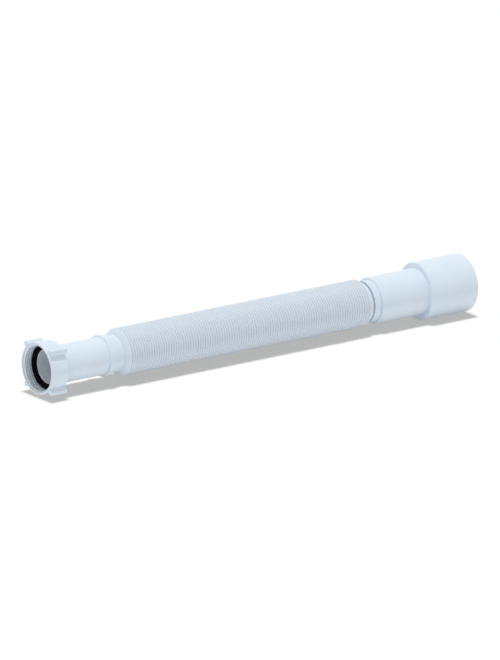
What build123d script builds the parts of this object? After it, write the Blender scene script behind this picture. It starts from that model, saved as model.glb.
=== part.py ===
from build123d import *
import os

# Flexible waste connector for a basin or sink, in millimetres.
# The axis runs along +X, towards the outlet. The origin is the centre of the washer's front face,
# where the end of the threaded fitting seats, so the mouth of the nut lies at negative X.
# Pieces: union nut, sealing washer, inlet tailpiece, bellows and stepped outlet spigot.

# Inlet thread, G 1 1/4
thread_radius = 20.955
thread_depth = 1.479
thread_length = 7.6
thread_lead = 0.2

# Union nut
nut_wall = 1.55
nut_back_wall = 4.8
nut_taper = 0.7
nut_rim_round = 0.4
nut_back_round = 2.0
nut_seat_clearance = 0.1
nut_hole_clearance = 0.3
wing_count = 4
wing_first_angle = 45
wing_height = 5.2
wing_width = 4.2
wing_front_gap = 1.2
wing_back_gap = 0.9
wing_round = 0.5

# Sealing washer, clamped between the threaded fitting and the flange
washer_thickness = 3.0
washer_edge_gap = 0.7
washer_bore_gap = 0.7

# Inlet tailpiece
flange_clearance = 0.25
flange_width = 3.1
flange_thickness = 2.9
tail_wall = 2.1
tail_run = 51.0
collar_length = 6.4
collar_wall = 1.95
collar_taper = 0.8
collar_chamfer = 0.5
socket_depth = 4.9
socket_step = 1.95
neck_clearance = 0.05

# Bellows, drawn pushed together
bellows_wall = 0.8
neck_run = 8.5
shoulder_length = 4.1
fold_count = 99
fold_pitch = 2.508
fold_depth = 2.87
fold_rise = 4.54
cuff_run = 3.55
sleeve_gap = 1.7

# Outlet spigot, a 40 mm pipe end that steps up to a 50 mm one
spigot_radius = 20.0
spigot_wall = 1.9
spigot_length = 48.5
spigot_chamfer = 0.6
sleeve_wall = 3.15
sleeve_length = 6.7
outlet_step = 5.0
outlet_length = 47.7
outlet_chamfer = 0.5

# Radii that follow from the fits
thread_crest_radius = thread_radius - thread_depth
nut_radius = thread_radius + nut_wall
nut_back_radius = nut_radius - nut_taper
wing_radius = nut_radius + wing_height
flange_radius = thread_crest_radius - flange_clearance
tail_radius = flange_radius - flange_width
tail_bore = tail_radius - tail_wall
nut_hole_radius = tail_radius + nut_hole_clearance
washer_radius = flange_radius - washer_edge_gap
washer_bore = tail_bore + washer_bore_gap
socket_radius = tail_bore + socket_step
collar_radius = socket_radius + collar_wall
collar_end_radius = collar_radius - collar_taper
neck_radius = socket_radius - neck_clearance
stem_radius = tail_bore + bellows_wall
stem_socket = stem_radius + neck_clearance
sleeve_radius = stem_socket + sleeve_wall
spigot_bore = spigot_radius - spigot_wall
outlet_radius = spigot_radius + outlet_step
outlet_bore = outlet_radius - spigot_wall
bellows_radius = neck_radius + fold_rise
cuff_radius = bellows_radius - fold_depth

# Stations along the axis that follow from the lengths
half_pitch = fold_pitch / 2
nut_front = -thread_length
washer_front = 0.0
flange_front = washer_front + washer_thickness
flange_back = flange_front + flange_thickness
nut_seat = flange_back + nut_seat_clearance
nut_back = nut_seat + nut_back_wall
collar_start = flange_back + tail_run
collar_end = collar_start + collar_length
socket_start = collar_end - socket_depth
shoulder_start = collar_end + neck_run
folds_start = shoulder_start + shoulder_length
folds_end = folds_start + fold_count * fold_pitch
cuff_start = folds_end + half_pitch
bellows_end = cuff_start + cuff_run
sleeve_start = bellows_end + sleeve_gap
spigot_start = sleeve_start + sleeve_length
outlet_start = spigot_start + spigot_length
outlet_end = outlet_start + outlet_length

# Bellows wall: the inside follows the outside, lowered so that each flank keeps its thickness
flank = (half_pitch**2 + fold_depth**2) ** 0.5
wall_drop = bellows_wall * flank / half_pitch
inner_crest = bellows_radius - wall_drop
cuff_bore = cuff_radius - bellows_wall
cuff_overlap = (inner_crest - cuff_bore) * half_pitch / fold_depth
neck_bore = neck_radius - bellows_wall
shoulder_slant = (shoulder_length**2 + fold_rise**2) ** 0.5
shoulder_mitre = bellows_wall * (shoulder_slant - shoulder_length) / fold_rise


def zigzag(crest_radius):
    """Crest and root points of every fold, for the outside or the inside of the wall."""
    points = [(folds_start, crest_radius)]
    for fold in range(fold_count):
        root = folds_start + (fold + 0.5) * fold_pitch
        points.append((root, crest_radius - fold_depth))
        points.append((root + half_pitch, crest_radius))
    return points


os.makedirs("parts", exist_ok=True)

# Union nut: turned outside with four square-edged grip wings, then bored for thread, flange and tail
with BuildPart() as union_nut:
    with BuildSketch(Plane.XZ):
        with BuildLine():
            Polyline(
                (nut_front, 0),
                (nut_front, nut_radius),
                (nut_back, nut_back_radius),
                (nut_back, 0),
                close=True,
            )
        make_face()
    revolve(axis=Axis.X)
    fillet(union_nut.edges().filter_by(GeomType.CIRCLE).sort_by(Axis.X)[0], radius=nut_rim_round)
    fillet(union_nut.edges().filter_by(GeomType.CIRCLE).sort_by(Axis.X)[-1], radius=nut_back_round)
    with BuildSketch(Plane.YZ.offset(nut_front + wing_front_gap)):
        with PolarLocations(0, wing_count, start_angle=wing_first_angle):
            Polygon(
                (0, wing_width / 2),
                (wing_radius - wing_width / 2, wing_width / 2),
                (wing_radius, 0),
                (wing_radius - wing_width / 2, -wing_width / 2),
                (0, -wing_width / 2),
                align=None,
            )
    extrude(amount=nut_back - nut_front - wing_front_gap - wing_back_gap)
    fillet(union_nut.edges().filter_by(Axis.X), radius=wing_round)
    with BuildSketch(Plane.XZ):
        with BuildLine():
            Polyline(
                (nut_front, 0),
                (nut_front, thread_radius + thread_lead),
                (nut_front + thread_lead, thread_radius),
                (washer_front, thread_radius),
                (washer_front, thread_crest_radius),
                (nut_seat, thread_crest_radius),
                (nut_seat, nut_hole_radius),
                (nut_back, nut_hole_radius),
                (nut_back, 0),
                close=True,
            )
        make_face()
    revolve(axis=Axis.X, mode=Mode.SUBTRACT)

# Sealing washer: a flat rubber ring on the front of the flange
with BuildPart() as sealing_washer:
    with BuildSketch(Plane.YZ.offset(washer_front)):
        Circle(washer_radius)
        Circle(washer_bore, mode=Mode.SUBTRACT)
    extrude(amount=washer_thickness)

# Inlet tailpiece: flange, plain tail and the collar that holds the neck of the bellows
with BuildPart() as inlet_tailpiece:
    with BuildSketch(Plane.XZ):
        with BuildLine():
            Polyline(
                (flange_front, tail_bore),
                (flange_front, flange_radius),
                (flange_back, flange_radius),
                (flange_back, tail_radius),
                (collar_start, tail_radius),
                (collar_start, collar_radius - collar_chamfer),
                (collar_start + collar_chamfer, collar_radius),
                (collar_end - collar_chamfer, collar_end_radius),
                (collar_end, collar_end_radius - collar_chamfer),
                (collar_end, socket_radius),
                (socket_start, socket_radius),
                (socket_start, tail_bore),
                close=True,
            )
        make_face()
    revolve(axis=Axis.X)

# Bellows: neck, coned shoulder, folds of even wall, plain cuff and the stem that enters the sleeve
with BuildPart() as bellows:
    with BuildSketch(Plane.XZ):
        with BuildLine():
            Polyline(
                (socket_start, neck_bore),
                (socket_start, neck_radius),
                (shoulder_start, neck_radius),
                *zigzag(bellows_radius),
                (cuff_start, cuff_radius),
                (bellows_end, cuff_radius),
                (bellows_end, stem_radius),
                (spigot_start, stem_radius),
                (spigot_start, tail_bore),
                (bellows_end - bellows_wall, tail_bore),
                (bellows_end - bellows_wall, cuff_bore),
                (folds_end + cuff_overlap, cuff_bore),
                *reversed(zigzag(inner_crest)),
                (shoulder_start + shoulder_mitre, neck_bore),
                close=True,
            )
        make_face()
    revolve(axis=Axis.X)

# Outlet spigot: sleeve round the bellows' stem, 40 mm length and 50 mm length with an even wall
with BuildPart() as outlet_spigot:
    with BuildSketch(Plane.XZ):
        with BuildLine():
            Polyline(
                (sleeve_start, stem_socket),
                (sleeve_start, sleeve_radius),
                (spigot_start, sleeve_radius),
                (spigot_start, spigot_radius - spigot_chamfer),
                (spigot_start + spigot_chamfer, spigot_radius),
                (outlet_start, spigot_radius),
                (outlet_start, outlet_radius - outlet_chamfer),
                (outlet_start + outlet_chamfer, outlet_radius),
                (outlet_end - outlet_chamfer, outlet_radius),
                (outlet_end, outlet_radius - outlet_chamfer),
                (outlet_end, outlet_bore),
                (outlet_start + spigot_wall, outlet_bore),
                (outlet_start + spigot_wall, spigot_bore),
                (spigot_start + spigot_wall, spigot_bore),
                (spigot_start + spigot_wall, tail_bore),
                (spigot_start, tail_bore),
                (spigot_start, stem_socket),
                close=True,
            )
        make_face()
    revolve(axis=Axis.X)

union_nut.part.label = "union_nut"
sealing_washer.part.label = "sealing_washer"
inlet_tailpiece.part.label = "inlet_tailpiece"
bellows.part.label = "bellows"
outlet_spigot.part.label = "outlet_spigot"

export_step(union_nut.part, "parts/union_nut.step")
export_step(sealing_washer.part, "parts/sealing_washer.step")
export_step(inlet_tailpiece.part, "parts/inlet_tailpiece.step")
export_step(bellows.part, "parts/bellows.step")
export_step(outlet_spigot.part, "parts/outlet_spigot.step")
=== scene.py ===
import bpy
import numpy as np
from mathutils import Matrix, Vector


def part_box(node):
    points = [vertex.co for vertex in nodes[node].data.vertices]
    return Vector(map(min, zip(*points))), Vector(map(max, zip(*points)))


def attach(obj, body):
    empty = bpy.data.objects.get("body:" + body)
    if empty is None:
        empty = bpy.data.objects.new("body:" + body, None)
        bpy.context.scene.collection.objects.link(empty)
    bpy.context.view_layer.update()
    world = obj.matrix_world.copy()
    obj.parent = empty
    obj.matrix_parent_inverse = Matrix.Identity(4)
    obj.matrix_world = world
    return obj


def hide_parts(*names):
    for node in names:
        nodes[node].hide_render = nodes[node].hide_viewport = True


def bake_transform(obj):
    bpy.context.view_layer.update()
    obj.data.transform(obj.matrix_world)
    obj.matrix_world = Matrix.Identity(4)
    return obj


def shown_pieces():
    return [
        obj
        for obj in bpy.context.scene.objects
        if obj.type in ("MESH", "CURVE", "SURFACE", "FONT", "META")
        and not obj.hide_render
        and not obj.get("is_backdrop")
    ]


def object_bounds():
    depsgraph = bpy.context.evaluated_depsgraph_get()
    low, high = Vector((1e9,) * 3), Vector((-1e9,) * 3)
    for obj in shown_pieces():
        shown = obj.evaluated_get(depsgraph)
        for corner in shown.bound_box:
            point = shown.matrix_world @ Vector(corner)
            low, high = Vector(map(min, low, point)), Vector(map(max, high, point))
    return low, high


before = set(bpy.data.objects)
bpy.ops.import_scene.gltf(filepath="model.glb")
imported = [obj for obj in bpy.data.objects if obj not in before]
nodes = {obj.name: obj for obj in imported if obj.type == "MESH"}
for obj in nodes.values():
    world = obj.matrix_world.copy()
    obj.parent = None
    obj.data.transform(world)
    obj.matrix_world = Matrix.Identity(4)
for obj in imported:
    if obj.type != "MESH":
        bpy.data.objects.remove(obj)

mm = 0.001
cadLow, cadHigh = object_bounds()
print("frame loaded:", sorted(nodes))


# sRGB hex to linear: below the toe divide by 12.92, above it the 2.4 power
def linear(hexColour):
    s = np.array([int(hexColour[i:i + 2], 16) for i in (0, 2, 4)]) / 255.0
    toe = s <= 0.04045
    return (*np.where(toe, s / 12.92, ((s + 0.055) / 1.055) ** 2.4).tolist(), 1.0)


# one node, its socket values, its links from other sockets, and its own properties
def addNode(tree, kind, values=None, links=None, **own):
    made = tree.nodes.new(kind)
    for key, value in own.items():
        setattr(made, key, value)
    for key, value in (values or {}).items():
        made.inputs[key].default_value = value
    for key, source in (links or {}).items():
        tree.links.new(source, made.inputs[key])
    return made


def newMaterial(name):
    made = bpy.data.materials.new(name)
    made.use_nodes = True
    made.node_tree.nodes.clear()
    return made, made.node_tree


# grid of points to a mesh: rows run along the path, columns round the section, both may close
def gridMesh(name, points, closeRows=False, closeColumns=False):
    rowCount, columnCount = points.shape[:2]
    index = np.arange(rowCount * columnCount).reshape(rowCount, columnCount)
    if closeRows:
        index = np.vstack([index, index[:1]])
    if closeColumns:
        index = np.hstack([index, index[:, :1]])
    quads = np.stack([index[:-1, :-1], index[:-1, 1:], index[1:, 1:], index[1:, :-1]], axis=-1)
    mesh = bpy.data.meshes.new(name)
    mesh.from_pydata(points.reshape(-1, 3).tolist(), [], quads.reshape(-1, 4).tolist())
    mesh.update()
    return mesh


# profile of (x, r) points turned about the X axis: y is r cos a, z is r sin a
def turned(profile, segments):
    angle = np.arange(segments) * (2 * np.pi / segments)
    x, r = profile[:, 0], profile[:, 1]
    return np.stack(
        [
            np.repeat(x[:, None], segments, axis=1),
            r[:, None] * np.cos(angle),
            r[:, None] * np.sin(angle),
        ],
        axis=-1,
    )


# smooth shading with the edges above the given angle kept sharp
def addPiece(name, mesh, material, sharpDegrees):
    mesh.polygons.foreach_set("use_smooth", np.ones(len(mesh.polygons), bool))
    mesh.set_sharp_from_angle(angle=np.radians(sharpDegrees))
    piece = bpy.data.objects.new(name, mesh)
    bpy.context.scene.collection.objects.link(piece)
    piece.data.materials.append(material)
    return piece


noiseLow, noiseHigh = 0.3, 0.7  # nearly all values of a noise lie between these
mixFactor, mixFirst, mixSecond, mixResult = 0, 6, 7, 2  # a colour Mix node's sockets, whose names repeat


# what both polypropylenes share: a grain that varies their gloss and stands up a little as relief
def satinSkin(tree, look, colour, grain):
    gloss, swing = look["roughness"], look["roughnessSwing"]
    sheen = addNode(
        tree,
        "ShaderNodeMapRange",
        {"To Min": gloss - swing, "To Max": gloss + swing},
        {"Value": grain},
    )
    relief = addNode(
        tree,
        "ShaderNodeBump",
        {"Strength": look["reliefStrength"], "Distance": look["reliefMm"] * mm},
        {"Height": grain},
    )
    skin = addNode(
        tree,
        "ShaderNodeBsdfPrincipled",
        {"IOR": look["ior"]},
        {"Base Color": colour, "Roughness": sheen.outputs["Result"], "Normal": relief.outputs["Normal"]},
    )
    addNode(tree, "ShaderNodeOutputMaterial", links={"Surface": skin.outputs["BSDF"]})


# injection-moulded polypropylene: satin skin, faint flow shading, fine eroded grain from the mould,
# and bores painted paler and less blue than the outside, painted light that keeps the shade in them grey
def mouldedPolypropylene(name, look):
    made, tree = newMaterial(name)
    point = addNode(tree, "ShaderNodeTexCoord").outputs
    flow = addNode(
        tree,
        "ShaderNodeTexNoise",
        {"Scale": 1.0 / (look["flowMm"] * mm), "Detail": 2.0, "Roughness": 0.45},
        {"Vector": point["Object"]},
    )
    tint = addNode(tree, "ShaderNodeValToRGB", links={"Fac": flow.outputs["Fac"]})
    stops = tint.color_ramp.elements
    stops[0].position, stops[1].position = noiseLow, noiseHigh
    stops[0].color, stops[1].color = linear(look["shade"]), linear(look["light"])
    # a bore's normal points at the X axis, so its product with the way out from the axis is below 0
    wayOut = addNode(
        tree, "ShaderNodeVectorMath", {1: (0, 1, 1)}, {0: point["Object"]}, operation="MULTIPLY"
    )
    facing = addNode(
        tree,
        "ShaderNodeVectorMath",
        links={0: wayOut.outputs["Vector"], 1: point["Normal"]},
        operation="DOT_PRODUCT",
    )
    inBore = addNode(
        tree,
        "ShaderNodeMath",
        {1: look["boreBelowMm"] * mm},
        {0: facing.outputs["Value"]},
        operation="LESS_THAN",
    )
    # painted light: faces in a bore take the paler, less blue bore tint in place of the flow tint
    colour = addNode(
        tree,
        "ShaderNodeMix",
        {mixSecond: linear(look["bore"])},
        {mixFactor: inBore.outputs["Value"], mixFirst: tint.outputs["Color"]},
        data_type="RGBA",
    )
    grain = addNode(
        tree,
        "ShaderNodeTexNoise",
        {"Scale": 1.0 / (look["grainMm"] * mm), "Detail": 3.0, "Roughness": 0.6},
        {"Vector": point["Object"]},
    )
    satinSkin(tree, look, colour.outputs[mixResult], grain.outputs["Fac"])
    return made


pipeLook = {
    "light": "dfecf8",
    "shade": "dce9f5",
    # the bore tint is painted light, for the shade inside the bores
    "bore": "e5ecf4",
    "boreBelowMm": -1.0,  # the product below which a face counts as a bore
    "flowMm": 24.0,
    "grainMm": 0.6,  # real grain is about 0.1 mm, drawn coarser so that it shows
    "ior": 1.49,
    "roughness": 0.36,
    "roughnessSwing": 0.05,
    "reliefStrength": 0.06,
    "reliefMm": 0.05,
}
nutLook = {
    **pipeLook,
    "light": "e1eefa",
    "shade": "deebf8",
    # painted light in the nut's bore, as on the pipe
    "bore": "e1ecf5",
    "roughness": 0.4,
}
pipePlastic = mouldedPolypropylene("pipePolypropylene", pipeLook)
nutPlastic = mouldedPolypropylene("nutPolypropylene", nutLook)


# blow-moulded polypropylene: thinner and duller than the mouldings, and painted paler down in the folds:
# painted light for the light that comes through the thin wall, which lifts the shade in the grooves
def blownPolypropylene(name, look):
    made, tree = newMaterial(name)
    place = addNode(tree, "ShaderNodeTexCoord").outputs["Object"]
    height = addNode(tree, "ShaderNodeAttribute", attribute_name="foldHeight")
    # painted light: the ramp runs from the pale groove colour up to the crest and plain colours
    paintedGrooveLight = addNode(tree, "ShaderNodeValToRGB", links={"Fac": height.outputs["Fac"]})
    stops = paintedGrooveLight.color_ramp.elements
    stops[0].color, stops[1].color = linear(look["valley"]), linear(look["plain"])
    stops.new(look["crestStop"]).color = linear(look["crest"])
    cloud = addNode(
        tree,
        "ShaderNodeTexNoise",
        {"Scale": 1.0 / (look["cloudMm"] * mm), "Detail": 2.0, "Roughness": 0.5},
        {"Vector": place},
    )
    cloudTint = addNode(
        tree,
        "ShaderNodeMapRange",
        {"From Min": noiseLow, "From Max": noiseHigh, "To Min": look["cloudLow"], "To Max": 1.0},
        {"Value": cloud.outputs["Fac"]},
    )
    colour = addNode(
        tree,
        "ShaderNodeVectorMath",
        links={0: paintedGrooveLight.outputs["Color"], "Scale": cloudTint.outputs["Result"]},
        operation="SCALE",
    )
    grain = addNode(
        tree,
        "ShaderNodeTexNoise",
        {"Scale": 1.0 / (look["grainMm"] * mm), "Detail": 2.0},
        {"Vector": place},
    )
    satinSkin(tree, look, colour.outputs["Vector"], grain.outputs["Fac"])
    return made


bellowsLook = {
    "plain": "dfebf6",  # neck, shoulder and cuff
    "crest": "dae4ee",
    # painted light: paler than the crest, to lift the shade in the grooves
    "valley": "f2f7fd",
    "crestStop": 0.6,  # height on the scale from valley to plain where the folds' crests are
    "cloudMm": 30.0,
    "cloudLow": 0.985,
    "grainMm": 0.8,  # drawn coarser than the real grain, as on the pipe
    "ior": 1.49,
    "roughness": 0.46,
    "roughnessSwing": 0.04,
    "reliefStrength": 0.05,
    "reliefMm": 0.05,
}
bellowsPlastic = blownPolypropylene("bellowsPolypropylene", bellowsLook)


# moulded black rubber: matt, with a fine bloom that greys it in patches
def blackRubber(name, look):
    made, tree = newMaterial(name)
    place = addNode(tree, "ShaderNodeTexCoord").outputs["Object"]
    bloom = addNode(
        tree,
        "ShaderNodeTexNoise",
        {"Scale": 1.0 / (look["bloomMm"] * mm), "Detail": 4.0},
        {"Vector": place},
    )
    tint = addNode(tree, "ShaderNodeValToRGB", links={"Fac": bloom.outputs["Fac"]})
    stops = tint.color_ramp.elements
    stops[0].position, stops[1].position = look["bloomFrom"], look["bloomFull"]
    stops[0].color, stops[1].color = linear(look["black"]), linear(look["bloom"])
    relief = addNode(
        tree,
        "ShaderNodeBump",
        {"Strength": look["reliefStrength"], "Distance": look["reliefMm"] * mm},
        {"Height": bloom.outputs["Fac"]},
    )
    skin = addNode(
        tree,
        "ShaderNodeBsdfPrincipled",
        {"IOR": look["ior"], "Specular IOR Level": look["specular"], "Roughness": look["roughness"]},
        {"Base Color": tint.outputs["Color"], "Normal": relief.outputs["Normal"]},
    )
    addNode(tree, "ShaderNodeOutputMaterial", links={"Surface": skin.outputs["BSDF"]})
    return made


rubberLook = {
    "black": "020202",
    "bloom": "060606",
    "bloomMm": 2.5,
    "bloomFrom": 0.35,  # noise value where the bloom begins
    "bloomFull": 0.75,
    "ior": 1.52,
    "roughness": 0.7,
    "specular": 0.06,
    "reliefStrength": 0.15,
    "reliefMm": 0.05,
}
washerRubber = blackRubber("washerRubber", rubberLook)


def finishNode(node, material):
    piece = nodes[node]
    piece.data.materials.clear()
    piece.data.materials.append(material)


finishNode("union_nut", nutPlastic)
finishNode("sealing_washer", washerRubber)
finishNode("inlet_tailpiece", pipePlastic)
finishNode("outlet_spigot", pipePlastic)
print("materials on the moulded pieces")

bellowsSettings = {
    "neckRadius": 15.926 * mm,
    "wall": 0.8 * mm,
    "shoulderStart": 71.7 * mm,
    "shoulderEnd": 75.9 * mm,
    "shoulderPower": 1.2,
    "shoulderSteps": 13,
    "foldsStart": 77.15 * mm,
    "foldPitch": 2.508 * mm,
    "foldCount": 99,
    "bendFolds": 33,  # the folds next to the inlet, in the first of the two pieces
    "foldDepth": 2.2 * mm,
    "foldPower": 2.4,  # 2 is an ellipse, and more has a flatter crest and a narrower groove
    "innerDrop": 2.0 * mm,  # how far the folds' inside lies below their outside
    "cuffRadius": 17.596 * mm,
    "cuffStart": 325.8 * mm,
    "cuffEnd": 328.996 * mm,
    "stemRadius": 14.826 * mm,
    "outerSteps": 10,
    "innerSteps": 4,
    "segments": 96,
    "sharpDegrees": 50,
}


# each fold is half a superellipse over one pitch: cos and sin of the phase to the power 2 / foldPower
def foldCurve(first, count, steps, valleyRadius, cfg):
    phase = np.arange(steps) * (np.pi / steps)
    power = 2 / cfg["foldPower"]
    across = np.sign(np.cos(phase)) * np.abs(np.cos(phase)) ** power
    start = cfg["foldsStart"] + (first + np.arange(count)) * cfg["foldPitch"]
    x = start[:, None] + cfg["foldPitch"] * 0.5 * (1 - across)
    r = valleyRadius + cfg["foldDepth"] * np.sin(phase) ** power * np.ones((count, 1))
    return np.stack([x.ravel(), r.ravel()], axis=-1)


# quarter superellipse from (x0, r0) to (x1, r1): a power of 1 is a cone, and 2 is a dome
def shoulderCurve(x0, r0, x1, r1, steps, shapePower):
    phase = np.linspace(0, np.pi / 2, steps)
    power = 2 / shapePower
    x = x1 - (x1 - x0) * np.cos(phase) ** power
    r = r0 + (r1 - r0) * np.sin(phase) ** power
    return np.stack([x, r], axis=-1)


# the outline of the wall, outside and then inside, turned about the X axis as two pieces:
# one with the inlet's folds, and one with the rest
def makeBellows(cfg):
    low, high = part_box("bellows")
    crest, neck = high.z, cfg["neckRadius"]
    valley = crest - cfg["foldDepth"]
    innerValley = valley - cfg["innerDrop"]
    neckBore = neck - cfg["wall"]
    foldsStart, pitch = cfg["foldsStart"], cfg["foldPitch"]
    split = foldsStart + cfg["bendFolds"] * pitch
    foldsEnd = foldsStart + cfg["foldCount"] * pitch
    cuff, cuffStart, cuffEnd = cfg["cuffRadius"], cfg["cuffStart"], cfg["cuffEnd"]
    cuffBore, innerWall = cuff - cfg["wall"], cuffEnd - cfg["wall"]
    stem, stemBore = cfg["stemRadius"], cfg["stemRadius"] - cfg["wall"]
    shoulderStart, shoulderEnd = cfg["shoulderStart"], cfg["shoulderEnd"]
    stretchFolds = cfg["foldCount"] - cfg["bendFolds"]
    # from the shoulder down to the first groove: the second half of a fold before the first
    firstFall = foldCurve(-1, 1, cfg["outerSteps"], valley, cfg)[cfg["outerSteps"] // 2 + 1:]

    bendOuter = np.vstack(
        [
            [[low.x, neck]],
            shoulderCurve(
                shoulderStart, neck, shoulderEnd, crest, cfg["shoulderSteps"], cfg["shoulderPower"]
            ),
            firstFall,
            foldCurve(0, cfg["bendFolds"], cfg["outerSteps"], valley, cfg),
            [[split, valley]],
        ]
    )
    bendInner = np.vstack(
        [
            [[low.x, neckBore], [shoulderStart + cfg["wall"] / 2, neckBore]],
            [[shoulderEnd, crest - cfg["innerDrop"]]],
            foldCurve(0, cfg["bendFolds"], cfg["innerSteps"], innerValley, cfg),
            [[split, innerValley]],
        ]
    )
    stretchOuter = np.vstack(
        [
            foldCurve(cfg["bendFolds"], stretchFolds, cfg["outerSteps"], valley, cfg),
            [[foldsEnd, valley], [cuffStart, cuff], [cuffEnd, cuff]],
            [[cuffEnd, stem], [high.x, stem]],
        ]
    )
    stretchInner = np.vstack(
        [
            foldCurve(cfg["bendFolds"], stretchFolds, cfg["innerSteps"], innerValley, cfg),
            [[foldsEnd, innerValley], [cuffStart, cuffBore]],
            [[innerWall, cuffBore], [innerWall, stemBore], [high.x, stemBore]],
        ]
    )
    made = []
    for name, outer, inner in (
        ("bellowsBend", bendOuter, bendInner),
        ("bellowsStretch", stretchOuter, stretchInner),
    ):
        profile = np.vstack([outer, inner[::-1]])
        mesh = gridMesh(name, turned(profile, cfg["segments"]), closeRows=True, closeColumns=True)
        # 0 in a groove, where the colour carries painted light, crestStop on a crest and 1 on the plain
        # stretches
        rise = np.clip((profile[:, 1] - valley) / cfg["foldDepth"], 0, 1)
        plain = (profile[:, 0] < shoulderEnd) | (profile[:, 0] > foldsEnd)
        height = np.where(plain, 1.0, bellowsLook["crestStop"] * rise)
        mesh.attributes.new("foldHeight", "FLOAT", "POINT").data.foreach_set(
            "value", np.repeat(height, cfg["segments"]).astype(np.float32)
        )
        piece = addPiece(name, mesh, bellowsPlastic, cfg["sharpDegrees"])
        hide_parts("bellows")
        made.append(piece)
    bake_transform(made[0])
    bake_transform(made[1])
    print("bellows pieces:", [len(piece.data.polygons) for piece in made], "faces")
    return made


bellowsPieces = makeBellows(bellowsSettings)

threadSettings = {
    "majorRadius": 20.955 * mm,
    "crestHeight": 1.479 * mm,
    "pitch": 2.309 * mm,
    "counterbore": 0.55 * mm,  # plain stretch at the mouth, before the lead-in cone
    "leadSlope": 1.18,  # how fast the cone narrows along its length
    "firstCrest": 1.6 * mm,  # depth of the first ridge behind the mouth
    "seat": 0.17 * mm,  # how far the thread's back goes into the nut's wall
    "setBack": 0.02 * mm,  # keeps both ends clear of the nut's mouth and the washer
    "fullness": 1.6,  # 0 is a sine, and more has a flatter crest and root
    "rows": 90,
    "segments": 144,
    "sharpDegrees": 50,
}


# inside radius: the major radius less a rounded ridge that moves one pitch along X in each turn,
# behind a plain counterbore and a cone that narrows from the major radius to the ridge's
def makeThread(cfg):
    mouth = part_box("union_nut")[0].x + cfg["setBack"]
    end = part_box("sealing_washer")[0].x - cfg["setBack"]
    angle = np.arange(cfg["segments"]) * (2 * np.pi / cfg["segments"])
    x = np.linspace(mouth, end, cfg["rows"])[:, None]
    depth = x - mouth
    wave = np.cos(2 * np.pi * (depth - cfg["firstCrest"]) / cfg["pitch"] - angle)
    ridge = 0.5 + 0.5 * np.tanh(cfg["fullness"] * wave) / np.tanh(cfg["fullness"])
    lead = np.maximum(depth - cfg["counterbore"], 0) * cfg["leadSlope"] / cfg["crestHeight"]
    inside = cfg["majorRadius"] - cfg["crestHeight"] * np.where(lead < 1, lead, ridge)
    back = np.full((2, cfg["segments"]), cfg["majorRadius"] + cfg["seat"])
    r = np.vstack([inside, back])
    x = np.vstack([x, [[end], [mouth]]]) * np.ones(cfg["segments"])
    points = np.stack([x, r * np.cos(angle), r * np.sin(angle)], axis=-1)[::-1]
    mesh = gridMesh("nutThread", points, closeRows=True, closeColumns=True)
    piece = addPiece("nutThread", mesh, nutPlastic, cfg["sharpDegrees"])
    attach(piece, "nut")
    print("thread:", round(float((end - mouth) / cfg["pitch"]), 2), "turns")


makeThread(threadSettings)

stageSettings = {
    "floorHalf": 8.0,  # metres
    "sunElevation": 90.0,  # straight overhead
    "partSunDegrees": 1.0,  # how wide the lamp looks from the part
    "floorSunDegrees": 12.0,  # wider, for the soft edge of the shadow
    "partSun": 1.35,  # the part's share of the overhead light
    "skyLight": 0.57,  # the rest, from all round
    "shadowLevel": 0.42,  # the floor's own light, which is all that a shadow keeps
    "floorTint": 0.1,
    "floorBounce": 0.092,  # the tint for light that goes on to the part
    "floorSun": 16.8,
    "stepFill": 0.36,  # weak warm light along the pipes, for the faces of their steps
    "fillElevation": 15.0,
    "fillColour": "ffe6d8",
}


# the things that a lamp lights, or that cast its shadows
def linkGroup(name, things):
    group = bpy.data.collections.new(name)
    for thing in things:
        group.objects.link(thing)
    return group


# a lamp from the inlet's side, at an elevation of 0 along the pipe and of 90 overhead
def addSun(name, energy, degrees, elevation, lit):
    lamp = bpy.data.lights.new(name, "SUN")
    lamp.energy = energy
    lamp.angle = np.radians(degrees)
    sun = bpy.data.objects.new(name, lamp)
    sun.rotation_euler = (0, np.radians(elevation - 90), 0)
    bpy.context.scene.collection.objects.link(sun)
    sun.light_linking.receiver_collection = linkGroup(name + "Lit", lit)
    return sun


# white paper lit from behind as well: an even white that keeps one even grey in the shadow
def paperFloor(name, cfg):
    made, tree = newMaterial(name)
    own = addNode(tree, "ShaderNodeEmission", {"Strength": cfg["shadowLevel"]})
    ray = addNode(tree, "ShaderNodeLightPath").outputs
    tint = addNode(
        tree,
        "ShaderNodeMapRange",
        {"To Min": cfg["floorTint"], "To Max": cfg["floorBounce"]},
        {"Value": ray["Is Diffuse Ray"]},
    )
    paper = addNode(tree, "ShaderNodeBsdfDiffuse", links={"Color": tint.outputs["Result"]})
    sheet = addNode(tree, "ShaderNodeAddShader", links={0: own.outputs[0], 1: paper.outputs[0]})
    addNode(tree, "ShaderNodeOutputMaterial", links={"Surface": sheet.outputs[0]})
    return made


# white wherever it is seen or mirrored, and dimmer for the light that it gives
def makeSky(cfg):
    world = bpy.data.worlds.new("studioSky")
    bpy.context.scene.world = world
    world.use_nodes = True
    tree = world.node_tree
    tree.nodes.clear()
    ray = addNode(tree, "ShaderNodeLightPath").outputs
    strength = addNode(
        tree,
        "ShaderNodeMapRange",
        {"To Min": 1.0, "To Max": cfg["skyLight"]},
        {"Value": ray["Is Diffuse Ray"]},
    )
    sky = addNode(
        tree,
        "ShaderNodeBackground",
        {"Color": (1, 1, 1, 1)},
        {"Strength": strength.outputs["Result"]},
    )
    addNode(tree, "ShaderNodeOutputWorld", links={"Surface": sky.outputs["Background"]})


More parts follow.
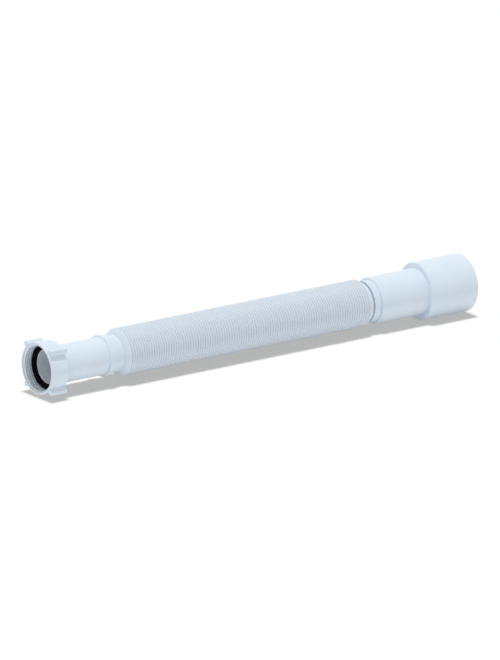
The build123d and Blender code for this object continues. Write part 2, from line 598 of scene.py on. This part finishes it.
def makeStage(cfg):
    span = np.array([-cfg["floorHalf"], cfg["floorHalf"]])
    x, y = np.meshgrid(span, span, indexing="ij")
    floorMesh = gridMesh("floor", np.stack([x, y, np.full_like(x, cadLow.z)], axis=-1))
    floorMesh.materials.append(paperFloor("paperFloor", cfg))
    floor = bpy.data.objects.new("floor", floorMesh)
    bpy.context.scene.collection.objects.link(floor)
    floor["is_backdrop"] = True

    addSun("partSun", cfg["partSun"], cfg["partSunDegrees"], cfg["sunElevation"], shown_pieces())
    addSun("floorSun", cfg["floorSun"], cfg["floorSunDegrees"], cfg["sunElevation"], [floor])
    pipes = [nodes["inlet_tailpiece"], nodes["outlet_spigot"]]
    fill = addSun("stepFill", cfg["stepFill"], cfg["partSunDegrees"], cfg["fillElevation"], pipes)
    fill.data.color = linear(cfg["fillColour"])[:3]
    fill.light_linking.blocker_collection = linkGroup("stepFillBlockers", bellowsPieces + pipes)
    makeSky(cfg)


makeStage(stageSettings)

cameraSettings = {
    "turn": 35.67,  # degrees the view is turned from the pipe's side towards its inlet
    "elevation": 16.55,
    "pixelsPerMm": 1.184,
    "mouthPixel": (37.65, 368.0),  # centre of the nut's mouth in the picture
    "pictureSize": (500, 660),
    "lens": 1200.0,  # long, because the picture shows no perspective
    "sensor": 36.0,
    "farClip": 3,  # times the camera's distance
}


# the picture's middle is offset from the nut's mouth by pixels over scale, along right and up
def makeCamera(cfg):
    turn, rise = np.radians(cfg["turn"]), np.radians(cfg["elevation"])
    right = np.array([np.cos(turn), -np.sin(turn), 0.0])
    up = np.array([np.sin(turn) * np.sin(rise), np.cos(turn) * np.sin(rise), np.cos(rise)])
    back = np.cross(right, up)
    scale = cfg["pixelsPerMm"] / mm
    width, height = cfg["pictureSize"]
    mouth = np.array([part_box("union_nut")[0].x, 0.0, 0.0])
    acrossOffset = ((width - 1) / 2 - cfg["mouthPixel"][0]) / scale
    upOffset = (cfg["mouthPixel"][1] - (height - 1) / 2) / scale
    distance = height / scale * cfg["lens"] / cfg["sensor"]
    # the scale holds at the depth of the part's middle
    partDepth = np.dot(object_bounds()[0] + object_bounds()[1], back) / 2
    middle = mouth + right * acrossOffset + up * upOffset
    middle = middle + back * (partDepth - np.dot(middle, back))
    lens = bpy.data.cameras.new("photoCamera")
    lens.lens = cfg["lens"]
    lens.sensor_width = cfg["sensor"]
    lens.clip_end = distance * cfg["farClip"]
    camera = bpy.data.objects.new("photoCamera", lens)
    bpy.context.scene.collection.objects.link(camera)
    facing = Matrix((right, up, back)).transposed().to_4x4()
    camera.matrix_world = Matrix.Translation(Vector(middle + back * distance)) @ facing
    bpy.context.scene.camera = camera


makeCamera(cameraSettings)
bpy.context.scene.view_settings.view_transform = "Standard"
print("stage, light and camera are set")
